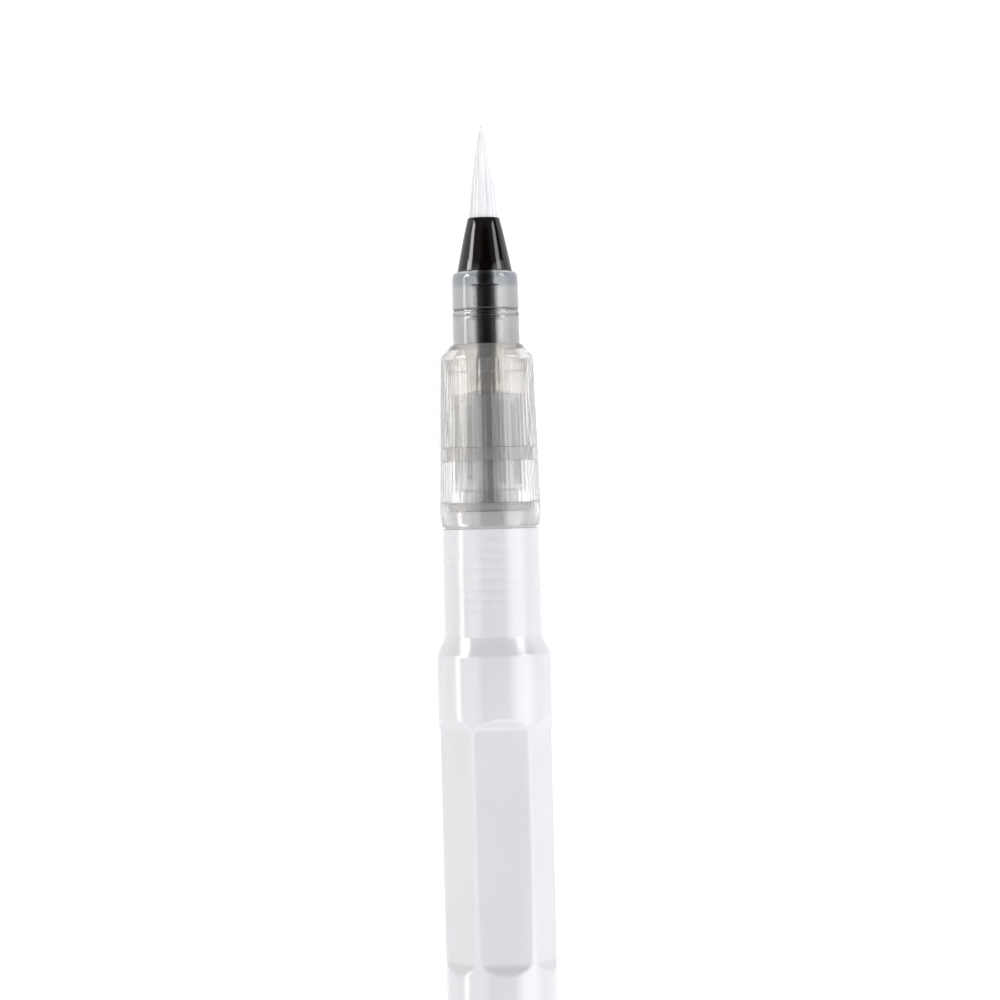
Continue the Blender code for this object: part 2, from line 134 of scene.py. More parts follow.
def object_from(name, vertices, faces, material, sharp=40):
    """A smooth-shaded object from vertices in metres, its faces turned outwards. Edges above the
    sharp angle, in degrees, stay hard."""
    mesh = bpy.data.meshes.new(name)
    mesh.from_pydata(vertices, [], faces)
    edit = bmesh.new()
    edit.from_mesh(mesh)
    bmesh.ops.recalc_face_normals(edit, faces=edit.faces)
    edit.to_mesh(mesh)
    edit.free()
    mesh.shade_smooth()
    mesh.set_sharp_from_angle(angle=math.radians(sharp))
    mesh.materials.append(material)
    obj = bpy.data.objects.new(name, mesh)
    bpy.context.scene.collection.objects.link(obj)
    return obj


def softened(outline, cut=0.15, steps=3):
    """The outline with each corner replaced by a small curve that starts a cut's length from it."""
    points = [Vector(p) for p in outline]
    result = [points[0]]
    for before, corner, after in zip(points, points[1:], points[2:]):
        reach = min(cut, 0.4 * (corner - before).length, 0.4 * (after - corner).length)
        start = corner + (before - corner).normalized() * reach
        end = corner + (after - corner).normalized() * reach
        for i in range(steps + 1):
            t = i / steps
            result.append(start * (1 - t) ** 2 + corner * 2 * t * (1 - t) + end * t**2)
    result.append(points[-1])
    return [tuple(p) for p in result]


def spaced(outline, step):
    """The outline with points added so that none are further apart than step."""
    result = [outline[0]]
    for (r0, s0), (r1, s1) in zip(outline, outline[1:]):
        parts = max(1, math.ceil(math.hypot(r1 - r0, s1 - s0) / step))
        for i in range(1, parts + 1):
            result.append((r0 + (r1 - r0) * i / parts, s0 + (s1 - s0) * i / parts))
    return result


def turned(name, skins, segments, material, sharp=40):
    """A solid turned about the pen's axis. skins are (outline, shape) pairs that follow each other
    round the solid's section. shape gives the radii at all angles from a radius, a station and the
    angles, or is None for a circle. The section closes on itself, unless it starts and ends on the
    axis."""
    angles = 2 * math.pi * np.arange(segments) / segments
    vertices = []
    rings = []
    for outline, shape in skins:
        for radius, station in outline:
            if radius < 1e-6:
                rings.append([len(vertices)])
                vertices.append(world(0.0, 0.0, station))
                continue
            radii = shape(radius, station, angles) if shape else np.full(segments, radius)
            rings.append(list(range(len(vertices), len(vertices) + segments)))
            vertices += [world(r, a, station) for r, a in zip(radii, angles)]
    pairs = list(zip(rings, rings[1:]))
    if len(rings[0]) > 1:
        pairs.append((rings[-1], rings[0]))
    faces = []
    for upper, lower in pairs:
        for i in range(segments):
            j = (i + 1) % segments
            face = [upper[i % len(upper)], upper[j % len(upper)]]
            face += [lower[j % len(lower)], lower[i % len(lower)]]
            face = list(dict.fromkeys(face))
            if len(face) > 2:
                faces.append(face)
    return object_from(name, vertices, faces, material, sharp)


def fade(value, start, end):
    """0 before start, 1 after end, and smooth between them."""
    t = min(1.0, max(0.0, (value - start) / (end - start)))
    return t * t * (3 - 2 * t)


def ribbed(count, height, start, end):
    """A shape with fine round ribs along the pen between two stations."""

    def shape(radius, station, angles):
        strength = fade(station, start, start + 0.8) * (1 - fade(station, end - 0.4, end))
        return radius + height * strength * (np.abs(np.cos(count / 2 * angles)) - 1)

    return shape


def threaded(height, width, start, end, core):
    """A shape with a right-handed round thread bead. core is the radius that the thread stands on,
    if it stands on one only: other radii then stay round."""

    def shape(radius, station, angles):
        if core and abs(radius - core) > 0.01:
            return np.full(len(angles), radius)
        turn = (station - THREAD_START) / PITCH + angles / (2 * math.pi)
        offset = (turn - np.round(turn)) * PITCH
        at = station - offset
        strength = np.clip((at - start) / 0.6, 0, 1) * np.clip((end - at) / 0.6, 0, 1)
        return radius + height * strength * np.sqrt(np.clip(1 - (offset / width) ** 2, 0, 1))

    return shape


def hexagonal(apothem, start, end, ramp=1.7, sharpness=34):
    """A shape with six flats between two stations, which fade out in a ramp at both ends. A higher
    sharpness makes the edges between them less round. The top of the pen is a flat."""

    def shape(radius, station, angles):
        depth = min(station - start, end - station) / ramp
        flat = apothem + (radius - apothem) * (1 - fade(depth, 0.0, 1.0))
        away = angles % math.radians(60) - math.radians(30)
        nearest = np.cos(away) ** sharpness
        neighbour = np.cos(math.radians(60) - np.abs(away)) ** sharpness
        sides = flat * (nearest + neighbour) ** (-1 / sharpness)
        return np.minimum(radius, sides) if depth > 0 else np.full(len(angles), radius)

    return shape


# --- Materials ------------------------------------------------------------------------------------


def fill_ramp(ramp, stops):
    """Gives a colour ramp its (position, colour) stops."""
    elements = ramp.color_ramp.elements
    for element, (position, colour) in zip((elements[0], elements[1]), (stops[0], stops[-1])):
        element.position = position
        element.color = (*colour, 1.0)
    for position, colour in stops[1:-1]:
        elements.new(position).color = (*colour, 1.0)


class Plastic:
    """A Principled material with helpers for its variation over the surface."""

    def __init__(self, name, **sockets):
        self.material = bpy.data.materials.new(name)
        self.material.use_nodes = True
        self.nodes = self.material.node_tree.nodes
        self.links = self.material.node_tree.links
        self.shader = self.nodes["Principled BSDF"]
        self.coordinates = self.nodes.new("ShaderNodeTexCoord")
        for socket, value in sockets.items():
            self.shader.inputs[socket.replace("_", " ")].default_value = value

    def noise(self, size, stretch=1.0, detail=3.0):
        """Noise with grains of that size in millimetres, and stretch times as long along the pen."""
        mapping = self.nodes.new("ShaderNodeMapping")
        mapping.inputs["Scale"].default_value = (1.0, 1.0 / stretch, 1.0)
        self.links.new(self.coordinates.outputs["Object"], mapping.inputs["Vector"])
        texture = self.nodes.new("ShaderNodeTexNoise")
        texture.inputs["Scale"].default_value = 1.0 / (size * MM)
        texture.inputs["Detail"].default_value = detail
        self.links.new(mapping.outputs["Vector"], texture.inputs["Vector"])
        return texture.outputs["Fac"]

    def from_axis(self):
        """The distance from the pen's axis, 1 at 4 mm."""
        offset = self.nodes.new("ShaderNodeVectorMath")
        offset.operation = "SUBTRACT"
        offset.inputs[1].default_value = (0.0, 0.0, AXIS_HEIGHT)
        across = self.nodes.new("ShaderNodeVectorMath")
        across.operation = "MULTIPLY"
        across.inputs[1].default_value = (1 / (4 * MM), 0.0, 1 / (4 * MM))
        length = self.nodes.new("ShaderNodeVectorMath")
        length.operation = "LENGTH"
        self.links.new(self.coordinates.outputs["Object"], offset.inputs[0])
        self.links.new(offset.outputs["Vector"], across.inputs[0])
        self.links.new(across.outputs["Vector"], length.inputs[0])
        return length.outputs["Value"]

    def along(self, first, last):
        """A factor that rises from 0 at one station to 1 at another."""
        place = self.nodes.new("ShaderNodeSeparateXYZ")
        scale = self.nodes.new("ShaderNodeMapRange")
        scale.inputs["From Min"].default_value = TIP_Y - first * MM
        scale.inputs["From Max"].default_value = TIP_Y - last * MM
        self.links.new(self.coordinates.outputs["Object"], place.inputs["Vector"])
        self.links.new(place.outputs["Y"], scale.inputs["Value"])
        return scale.outputs["Result"]

    def stops(self, factor, stops):
        """Base colour through (position, colour) stops as the factor rises."""
        ramp = self.nodes.new("ShaderNodeValToRGB")
        fill_ramp(ramp, stops)
        self.links.new(factor, ramp.inputs["Fac"])
        self.links.new(ramp.outputs["Color"], self.shader.inputs["Base Color"])
        return self

    def colours(self, factor, low, high, start=0.35, end=0.65):
        """Base colour from one colour to another as the factor rises."""
        return self.stops(factor, [(start, low), (end, high)])

    def roughness(self, factor, low, high):
        """Roughness from low to high as the factor rises."""
        scale = self.nodes.new("ShaderNodeMapRange")
        scale.inputs["From Min"].default_value = 0.3
        scale.inputs["From Max"].default_value = 0.7
        scale.inputs["To Min"].default_value = low
        scale.inputs["To Max"].default_value = high
        self.links.new(factor, scale.inputs["Value"])
        self.links.new(scale.outputs["Result"], self.shader.inputs["Roughness"])
        return self

    def bump(self, factor, height, strength=1.0):
        """Bump of that height in millimetres."""
        bump = self.nodes.new("ShaderNodeBump")
        bump.inputs["Distance"].default_value = height * MM
        bump.inputs["Strength"].default_value = strength
        self.links.new(factor, bump.inputs["Height"])
        self.links.new(bump.outputs["Normal"], self.shader.inputs["Normal"])
        return self


def nylon():
    plastic = Plastic("nylon_filament", IOR=1.53)
    streaks = plastic.noise(0.12, stretch=30)
    # painted shade: the filaments are a darker lavender-grey than the tuft's core, for shade at the
    # tuft's edges
    plastic.colours(streaks, (0.67, 0.655, 0.7), (0.75, 0.735, 0.775))
    return plastic.roughness(streaks, 0.3, 0.45).material


def bundled_nylon_painted_light():
    """The inside of the tuft, with painted light: lighter and creamier than the filaments around it."""
    plastic = Plastic("bundled_nylon_painted_light", IOR=1.4, Specular_IOR_Level=0.2)
    streaks = plastic.noise(0.1, stretch=40)
    plastic.colours(streaks, (0.93, 0.925, 0.88), (0.97, 0.965, 0.93))
    return plastic.roughness(streaks, 0.5, 0.65).material


def fused_nylon():
    plastic = Plastic("fused_nylon", IOR=1.53)
    grain = plastic.noise(0.3)
    plastic.colours(grain, (0.78, 0.75, 0.66), (0.86, 0.84, 0.77))
    return plastic.roughness(grain, 0.4, 0.6).bump(grain, 0.02).material


def black_gloss():
    plastic = Plastic("black_gloss", IOR=1.5, Specular_IOR_Level=0.34)
    plastic.colours(plastic.noise(2.0), (0.0018, 0.001, 0.0008), (0.003, 0.0018, 0.0015))
    flow = plastic.noise(1.5, stretch=3, detail=2)
    return plastic.roughness(flow, 0.06, 0.1).bump(plastic.noise(0.8, stretch=6), 0.003).material


def feed_black():
    plastic = Plastic("feed_black", IOR=1.3, Specular_IOR_Level=0.3)
    streaks = plastic.noise(0.25, stretch=12)
    plastic.colours(streaks, (0.014, 0.014, 0.014), (0.026, 0.025, 0.025))
    return plastic.roughness(streaks, 0.5, 0.65).bump(streaks, 0.01).material


def plug_grey():
    """Grey and partly clear, with painted shade: nearly black at the bore and on the channel's floor.
    """
    plastic = Plastic("plug_grey", IOR=1.4, Transmission_Weight=0.6)
    grain = plastic.noise(0.5, stretch=4)
    # painted shade, darkest at the bore and on the channel's floor, then the plug's own grey further
    # out
    bore_shade_then_grey = [
        (0.31, (0.006, 0.015, 0.024)),
        (0.5, (0.2, 0.25, 0.285)),
        (0.98, (0.8, 0.81, 0.82)),
    ]
    plastic.stops(plastic.from_axis(), bore_shade_then_grey)
    return plastic.roughness(grain, 0.18, 0.26).bump(grain, 0.01).material


def seal_rubber():
    """Pale and translucent, so that the ring shows little through the grip."""
    plastic = Plastic("seal_rubber", IOR=1.42, Transmission_Weight=0.85)
    grain = plastic.noise(0.15)
    plastic.colours(grain, (0.74, 0.74, 0.74), (0.8, 0.795, 0.79))
    return plastic.roughness(grain, 0.45, 0.6).bump(grain, 0.01).material


def clear_plastic(name, tint_low, tint_high, rough=0.04):
    plastic = Plastic(name, IOR=1.49, Transmission_Weight=1.0)
    plastic.colours(plastic.noise(3.0, stretch=3), tint_low, tint_high)
    flow = plastic.noise(1.2, stretch=12, detail=2)
    return plastic.roughness(flow, 0.25 * rough, rough).bump(flow, 0.004).material


def nozzle_plastic():
    """Clear, but duller on the wall of the bore, with painted shade at the tight bore, the ring groove
    and the mould line, and a painted warm highlight inside the grip."""
    plastic = Plastic("clear_nozzle", IOR=1.49, Transmission_Weight=1.0)
    first, last = 18.0, 28.0
    # painted shade at the tight bore, groove and mould line; painted warm highlight in the grip
    tight_bore_shade = [(18.2, (0.44, 0.44, 0.45)), (18.6, (0.27, 0.29, 0.32)), (19.5, (0.3, 0.32, 0.35))]
    tube = [(20.1, (0.44, 0.44, 0.44)), (22.45, (0.42, 0.42, 0.42))]
    groove = [(22.6, (0.09, 0.09, 0.09)), (22.8, (0.1, 0.1, 0.1)), (22.95, (0.62, 0.62, 0.62))]
    mould_line_shade = [(23.45, (0.26, 0.26, 0.26)), (23.7, (0.46, 0.46, 0.46))]
    warm_highlight_in_grip = [(26.8, (0.42, 0.42, 0.42)), (27.6, (0.97, 0.935, 0.88))]
    stations = tight_bore_shade + tube + groove + mould_line_shade + warm_highlight_in_grip
    plastic.stops(plastic.along(first, last), [((s - first) / (last - first), c) for s, c in stations])
    return plastic.roughness(plastic.from_axis(), 0.3, 0.02).material


def frosted(name, tint_low, tint_high, clear=0.91):
    plastic = Plastic(name, IOR=1.46, Transmission_Weight=clear)
    streaks = plastic.noise(0.7, stretch=60, detail=2)
    plastic.colours(streaks, tint_low, tint_high)
    return plastic.roughness(streaks, 0.12, 0.16).material


def milky(name, tint_low, tint_high, clear):
    plastic = Plastic(name, IOR=1.5, Transmission_Weight=clear, Specular_IOR_Level=0.7)
    cloud = plastic.noise(5.0, stretch=3)
    plastic.colours(cloud, tint_low, tint_high)
    plastic.roughness(plastic.noise(1.5, stretch=4), 0.16, 0.22)
    return plastic.bump(plastic.noise(0.8), 0.002).material


def studio_white():
    """A white table, lit a little from below as well, so that it shows hardly any shadow."""
    plastic = Plastic("studio_floor", IOR=1.4, Specular_IOR_Level=0.1, Emission_Strength=0.66)
    plastic.shader.inputs["Emission Color"].default_value = (1.0, 1.0, 1.0, 1.0)
    plastic.colours(plastic.noise(60.0), (0.45, 0.45, 0.452), (0.47, 0.47, 0.472))
    return plastic.roughness(plastic.noise(30.0), 0.85, 0.95).material


# --- The head -------------------------------------------------------------------------------------


def tuft_radius(station):
    """The tuft's outline: a fine point that swells quickly and is nearly straight at the ferrule."""
    return TUFT_RADIUS * max(0.0, station / MOUTH) ** 0.6


def tuft():
    """Nylon filaments packed in a round bundle, and a ribbed core that fills the gaps between them.
    Each filament starts inside the ferrule and runs towards the point. The outer ones stop sooner."""
    rng = random.Random(11)
    count, sides, steps = 300, 6, 16
    root = MOUTH + 0.9
    thickness = 0.055
    vertices, faces = [], []
    for n in range(count):
        share = math.sqrt((n + 0.5) / count)
        around = n * math.pi * (3 - math.sqrt(5))
        end = 0.01 + 0.5 * rng.random() ** 2 + 2.3 * share**3 * rng.random()
        sway = rng.uniform(-0.35, 0.35)
        first = len(vertices)
        for i in range(steps + 1):
            t = i / steps
            station = root + (end - root) * (1 - (1 - t) ** 1.15)
            radius = (tuft_radius(min(station, MOUTH)) - thickness) * share
            angle = around + sway * t**2
            centre = Vector(world(max(radius, 0.0), angle, station))
            width = thickness * (1 - 0.72 * t**3) * MM
            for k in range(sides):
                turn = 2 * math.pi * k / sides
                vertices.append(centre + Vector((math.cos(turn), 0.0, math.sin(turn))) * width)
        for i in range(steps):
            a, b = first + i * sides, first + (i + 1) * sides
            faces += [(a + k, a + (k + 1) % sides, b + (k + 1) % sides, b + k) for k in range(sides)]
        last = first + steps * sides
        faces.append(tuple(range(first, first + sides)))
        faces.append(tuple(range(last, last + sides)))
    filaments = object_from("bristle_filaments", vertices, faces, nylon(), sharp=60)
    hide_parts("bristle_tuft")

    core_tip, core_length, rings = 0.35, 10.85, 20
    outline = [(0.0, core_tip)]
    for i in range(1, rings + 1):
        station = core_tip + core_length * (i / rings) ** 1.4
        outline.append((0.93 * tuft_radius(station) - 0.02, station))
    outline += [(0.95 * TUFT_RADIUS, MOUTH + 0.5), (0.0, MOUTH + 1.2)]
    core = turned("bristle_core", [(outline, ribbed(48, 0.05, 0.5, MOUTH))], 192, bundled_nylon_painted_light())
    for piece in (filaments, core):
        end = world(0.0, 0.0, MOUTH - 6.0)
        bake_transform(piece)


def tuft_root():
    """The plug of melted filament ends, with its flange."""
    top, end = front("tuft_root"), back("tuft_root")
    flange = end - 0.5
    bore, body, rim = 0.55, 1.76, 2.0
    outline = [(bore, top), (body, top), (body, flange), (rim, flange), (rim, end), (bore, end)]
    piece = turned("tuft_root_plug", [(softened(outline, 0.08), None)], 96, fused_nylon())
    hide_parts("tuft_root")
    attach(piece, "head")


def ferrule():
    """The black cone, hollow, with a step inside in front of the tuft's flange."""
    bore = 1.82
    outline = [(bore, 14.27), (bore, MOUTH), (1.945, MOUTH), (2.33, 13.1), (2.68, 14.7), (3.03, 16.4)]
    outline += [(FERRULE_RADIUS, FERRULE_BASE), (2.8, FERRULE_BASE)]
    outline += [(2.08, 14.92), (2.08, 14.27)]
    piece = turned("ferrule_shell", [(softened(outline, 0.05), None)], 160, black_gloss())
    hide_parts("ferrule_cone")
    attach(piece, "head")


def nozzle():
    """The clear tube, with a ring groove and a mould line outside, and a shallow groove in its
    bore."""
    radius = NOZZLE_RADIUS
    collar = FERRULE_BASE + 0.05
    end = back("nozzle")
    bore = 1.5
    outside = [(0.6, 15.0), (1.95, 15.0), (2.68, collar), (3.5, collar), (3.85, collar + 0.22)]
    outside += [(3.98, collar + 0.7), (radius - 0.02, 20.5), (radius, 22.5)]
    outside += [(radius - 0.1, 22.65), (radius - 0.1, 22.9), (radius, 23.1)]
    outside += [(radius, 23.4), (radius - 0.05, 23.5), (radius - 0.05, 23.6), (radius, 23.75)]
    outside += [(radius + 0.03, 28.9), (4.85, 28.9), (4.85, 30.2), (3.0, 30.2), (3.0, end)]
    inside = [(bore, end), (bore, 24.0), (bore + 0.12, 23.8), (bore + 0.12, 22.9), (bore, 22.7)]
    inside += [(bore, 19.8), (1.08, 19.65), (1.08, 16.0), (0.6, 15.3)]
    piece = turned("nozzle_tube", [(softened(outside + inside, 0.1), None)], 160, nozzle_plastic())
    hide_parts("nozzle")
    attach(piece, "head")


def feed_core():
    """The rod, with its capillary slit on the right."""
    start, end = front("feed_core"), back("feed_core")

    def slit(radius, station, angles):
        depth = 0.45 * fade(station, 20.0, 20.6)
        away = np.abs((angles + math.pi) % (2 * math.pi) - math.pi)
        return radius - np.where(away * radius < 0.2, depth, 0.0)

    outline = [(0.0, start), (0.42, start + 0.3), (0.42, 15.5), (0.96, 16.3), (0.96, 19.75)]
    outline += [(1.2, 20.0), (1.2, 31.0), (1.0, 31.4), (1.0, end - 0.3), (0.7, end), (0.0, end)]
    piece = turned("feed_rod", [(spaced(softened(outline, 0.1), 1.0), slit)], 96, feed_black())
    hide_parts("feed_core")
    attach(piece, "head")


def regulator():
    """The finned plug, with an open channel along its upper side."""
    top, end = front("regulator_plug"), back("regulator_plug")
    fins = 14
    half_slot = 0.36
    slot_depth = 0.7
    slotted = 4.2  # the slots are only cut where the plug is wider than this radius
    body = 4.3
    stem = 3.5
    stem_top = 44.6
    bore = 1.12
    half_channel = 1.0
    channel_angle = math.radians(99)

    def finned(radius, station, angles):
        begun = fade(station, top + 1.0, top + 1.4)
        ended = fade(station, stem_top - 1.4, stem_top - 1.0)
        along = begun * (1 - ended)
        away = np.abs((angles * fins / (2 * math.pi) + 0.5) % 1 - 0.5) * 2 * math.pi * radius / fins
        in_slot = (away < half_slot) & (radius > slotted)
        radii = radius - np.where(in_slot, slot_depth * along, 0.0)
        from_channel = angles - channel_angle
        open_top = (np.abs(np.sin(from_channel)) * radii < half_channel) & (np.cos(from_channel) > 0)
        return np.where(open_top & (radii > bore + 0.1), bore + 0.06, radii)

    outside = [(bore, top), (body, top), (body, stem_top), (stem, stem_top), (stem, end)]
    outside += [(bore, end)]
    skins = [(spaced(softened(outside, 0.15), 0.5), finned)]
    piece = turned("regulator_body", skins, 504, plug_grey())
    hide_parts("regulator_plug")
    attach(piece, "head")


def grip_radius(station):
    """The grip's outer radius, which grows evenly towards the barrel."""
    share = (station - GRIP_TOP) / (GRIP_BOTTOM - GRIP_TOP)
    return GRIP_TOP_RADIUS + (GRIP_BOTTOM_RADIUS - GRIP_TOP_RADIUS) * share


RIBS = 60
RIB_HEIGHT = 0.045


def grip():
    """The frosted shell, its fine ribs starting just behind the shoulder."""
    shoulder = grip_radius(28.55)
    outside = [(4.16, GRIP_TOP), (4.3, GRIP_TOP), (shoulder - 0.06, 28.3), (shoulder, 28.6)]
    outside += [(grip_radius(GRIP_JOINT), GRIP_JOINT)]
    inside = [(5.28, GRIP_JOINT), (5.28, 39.4), (4.95, 39.4), (5.0, 28.75), (4.16, 28.75)]
    skins = [
        (spaced(softened(outside, 0.12), 0.4), ribbed(RIBS, RIB_HEIGHT, 28.5, 60.0)),
        (softened(inside, 0.08), None),
    ]
    material = frosted("frosted_grip", (0.8, 0.785, 0.77), (0.86, 0.85, 0.84))
    piece = turned("ribbed_grip", skins, 480, material)
    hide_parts("grip_shell")
    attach(piece, "head")


def collar():
    """The threaded collar, whose outside carries the grip's ribs on."""
    top = GRIP_JOINT + 0.08
    seat = 44.8
    skirt = GRIP_BOTTOM + 1.4
    spigot = 4.55
    socket = front("thread_collar")
    head = [(4.45, socket), (5.2, socket), (5.2, top), (grip_radius(top), top)]
    head += [(grip_radius(GRIP_BOTTOM), GRIP_BOTTOM), (5.9, skirt), (5.65, skirt)]
    head += [(5.65, 46.1), (spigot, 46.1)]
    spigot_skin = [(spigot, 46.4), (spigot, SPIGOT_END - 0.3), (spigot - 0.3, SPIGOT_END)]
    inside = [(3.6, SPIGOT_END), (3.6, seat), (4.45, seat)]

    def ribs(radius, station, angles):
        fine = ribbed(RIBS, RIB_HEIGHT, 30.0, GRIP_BOTTOM - 0.2)
        return fine(radius, station, angles) if radius > 5.85 else np.full(len(angles), radius)

    skins = [
        (spaced(softened(head, 0.1), 0.5), ribs),
        (spaced(spigot_skin, 0.1), threaded(0.42, 0.42, THREAD_START, THREAD_END, spigot)),
        (inside, None),
    ]
    material = frosted("frosted_collar", (0.91, 0.9, 0.89), (0.96, 0.955, 0.95))
    piece = turned("threaded_collar", skins, 360, material)
    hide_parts("thread_collar")
    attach(piece, "head")


def seal_ring():
    """The rubber ring between the head and the neck."""
    section = 0.45
    radius = half_width("seal_ring") - section
    station = front("seal_ring") + section
    sides = 20
    turns = [2 * math.pi * i / sides for i in range(sides)]
    outline = [(radius + section * math.cos(t), station + section * math.sin(t)) for t in turns]
    piece = turned("o_ring", [(outline, None)], 128, seal_rubber())
    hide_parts("seal_ring")
    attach(piece, "seal_carriage")


# --- The barrel and the cap -----------------------------------------------------------------------


def barrel_radius(station):
    """The barrel's outer radius, which shrinks evenly from the flats to the tail's step."""
    share = max(0.0, (station - FLATS_START) / (TAIL_STEP - FLATS_START))
    return BARREL_RADIUS + (TAIL_STEP_RADIUS - BARREL_RADIUS) * share


def barrel():
    """The one-piece squeeze barrel, skinned from its lip round the outside and back up its bore."""
    tail = 6.08
    wall = BARREL_WALL
    neck_bore = 4.75
    step_radius = barrel_radius(TAIL_STEP)
    neck = [(5.2, LIP_TOP), (5.55, LIP_TOP), (5.55, 49.2), (5.84, 49.25), (5.96, NECK_END)]
    shoulder = [neck[-1], (BARREL_RADIUS - 0.05, SHOULDER_END), (BARREL_RADIUS, SHOULDER_END + 0.5)]
    body = [(barrel_radius(s), s) for s in (FLATS_START - 0.6, FLATS_END + 0.6)]
    rear = [(step_radius, TAIL_STEP), (tail, TAIL_STEP + 0.15), (tail, TAIL_END), (0.0, TAIL_END)]
    inner_rear = [(0.0, TAIL_END - 1.0), (tail - wall, TAIL_END - 1.0)]
    inner_rear += [(tail - wall, TAIL_STEP + 0.5), (step_radius - wall, TAIL_STEP - 0.5)]
    inner_body = [(barrel_radius(s) - wall, s) for s in (FLATS_END + 0.6, FLATS_START - 0.6)]
    inner_front = [(BARREL_RADIUS - wall, SHOULDER_END + 1.2), (neck_bore, NECK_END - 0.3)]
    inner_neck = [(neck_bore, NECK_END - 0.5), (neck_bore, 50.5)]
    mouth = [(5.2, 50.1)]
    ripple = threaded(0.035, 0.5, THREAD_START - PITCH, THREAD_END, None)
    inner_thread = threaded(0.36, 0.53, THREAD_START - PITCH, THREAD_END + 0.3, neck_bore)
    skins = [
        (spaced(softened(neck, 0.12), 0.14), ripple),
        (softened(shoulder, 0.3, 4)[1:], None),
        (spaced(body, 0.22), hexagonal(FLAT_APOTHEM, FLATS_START, FLATS_END)),
        (softened([body[-1], *rear], 0.6, 5)[1:], None),
        (softened([*inner_rear, inner_body[0]], 0.4)[:-1], None),
        (spaced(inner_body, 0.22), hexagonal(FLAT_APOTHEM - wall, FLATS_START, FLATS_END)),
        (softened([inner_body[-1], *inner_front], 0.6)[1:], None),
        (spaced(inner_neck, 0.12), inner_thread),
        (mouth, None),
    ]
    material = milky("milky_barrel", (0.71, 0.71, 0.735), (0.74, 0.74, 0.765), 0.3)
    piece = turned("squeeze_barrel", skins, 300, material, sharp=28)
    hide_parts("reservoir_barrel")
    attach(piece, "barrel")


def clip():
    """The cap's clip: an arm with rounded edges that springs from the closed end and ends in a
    bump."""
    surface = BARREL_RADIUS
    top = (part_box("cap")[1].z - AXIS_HEIGHT) / MM
    underside = top - 1.3
    root = CAP_END - 0.5
    tip = root - 36.0
    width = 4.6
    outline = [(surface - 0.4, root), (surface - 0.4, root - 3.2), (underside - 0.5, root - 3.5)]
    outline += [(underside, root - 4.2), (underside, tip + 4.0), (surface + 0.35, tip + 2.6)]
    outline += [(surface + 0.35, tip + 1.2), (underside + 0.5, tip), (top - 0.3, tip)]
    outline += [(top, tip + 0.6), (top, root - 2.4), (top - 0.5, root - 0.8), (underside, root)]
    edit = bmesh.new()
    corners = []
    for height, station in softened([*outline, outline[0]], 0.3, 3)[:-1]:
        place = ((-width / 2) * MM, TIP_Y - station * MM, AXIS_HEIGHT + height * MM)
        corners.append(edit.verts.new(place))
    extruded = bmesh.ops.extrude_face_region(edit, geom=[edit.faces.new(corners)])
    moved = [v for v in extruded["geom"] if isinstance(v, bmesh.types.BMVert)]
    bmesh.ops.translate(edit, vec=(width * MM, 0, 0), verts=moved)
    bmesh.ops.recalc_face_normals(edit, faces=edit.faces)
    rims = [e for e in edit.edges if abs(e.verts[0].co.x - e.verts[1].co.x) < 1e-7]
    bevel = 0.28 * MM
    bmesh.ops.bevel(edit, geom=rims, offset=bevel, segments=3, affect="EDGES", clamp_overlap=True)
    mesh = bpy.data.meshes.new("clip_arm")
    edit.to_mesh(mesh)
    edit.free()
    obj = bpy.data.objects.new("clip_arm", mesh)
    bpy.context.scene.collection.objects.link(obj)
    return obj


def cap():
    """The clear cap, posted on the tail, with its clip moulded on."""
    bore = BARREL_RADIUS - 0.8
    floor = CAP_END - 1.2
    mouth = (BARREL_RADIUS, CAP_MOUTH)
    inside = [(bore, floor), (bore, CAP_MOUTH + 1.0), (bore, CAP_MOUTH), mouth]
    outside = [mouth, (BARREL_RADIUS, CAP_END), (0.0, CAP_END)]
    material = clear_plastic("clear_cap", (0.9, 0.93, 0.95), (0.95, 0.965, 0.975))
    skins = [
        ([(0.0, floor)] + softened(inside, 0.15)[:-1], None),
        (softened(outside, 0.9, 6), None),
    ]
    piece = turned("clip_cap", skins, 192, material)
    arm = clip()
    union = piece.modifiers.new("clip", "BOOLEAN")
    union.operation = "UNION"
    union.solver = "EXACT"
    union.object = arm
    graph = bpy.context.evaluated_depsgraph_get()
    mesh = bpy.data.meshes.new_from_object(piece.evaluated_get(graph))
    piece.modifiers.clear()
    piece.data = mesh
    bpy.data.objects.remove(arm, do_unlink=True)
    mesh.shade_smooth()
    mesh.set_sharp_from_angle(angle=math.radians(40))
    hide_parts("cap")
    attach(piece, "posted_cap")


def inner_seal():
    """The cup in the cap's closed end."""
    mouth, end = front("cap_inner_seal"), back("cap_inner_seal")
    inner = NOZZLE_RADIUS + 0.13
    flange = half_width("cap_inner_seal")
    floor = end - 0.8
    outside = 4.8
    outline = [(0.0, floor), (inner, floor), (inner, mouth + 0.4), (inner + 0.2, mouth)]
    outline += [(outside, mouth), (outside, floor), (flange, floor), (flange, end), (0.0, end)]
    material = milky("seal_natural", (0.76, 0.78, 0.8), (0.82, 0.83, 0.84), 0.5)
    piece = turned("seal_cup", [(softened(outline, 0.15), None)], 128, material)
    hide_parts("cap_inner_seal")
    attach(piece, "posted_cap")


# --- The studio -----------------------------------------------------------------------------------

VIEW_WIDTH = 121.7  # of the picture, at the pen's axis
VIEW_STATION = 45.8  # of the point on the axis level with the picture's centre
VIEW_SIDE = 1.17  # how far the picture's centre is to the right of the axis
LEAN = math.radians(1.41)
TURN = math.radians(7)
LENS = 120.0


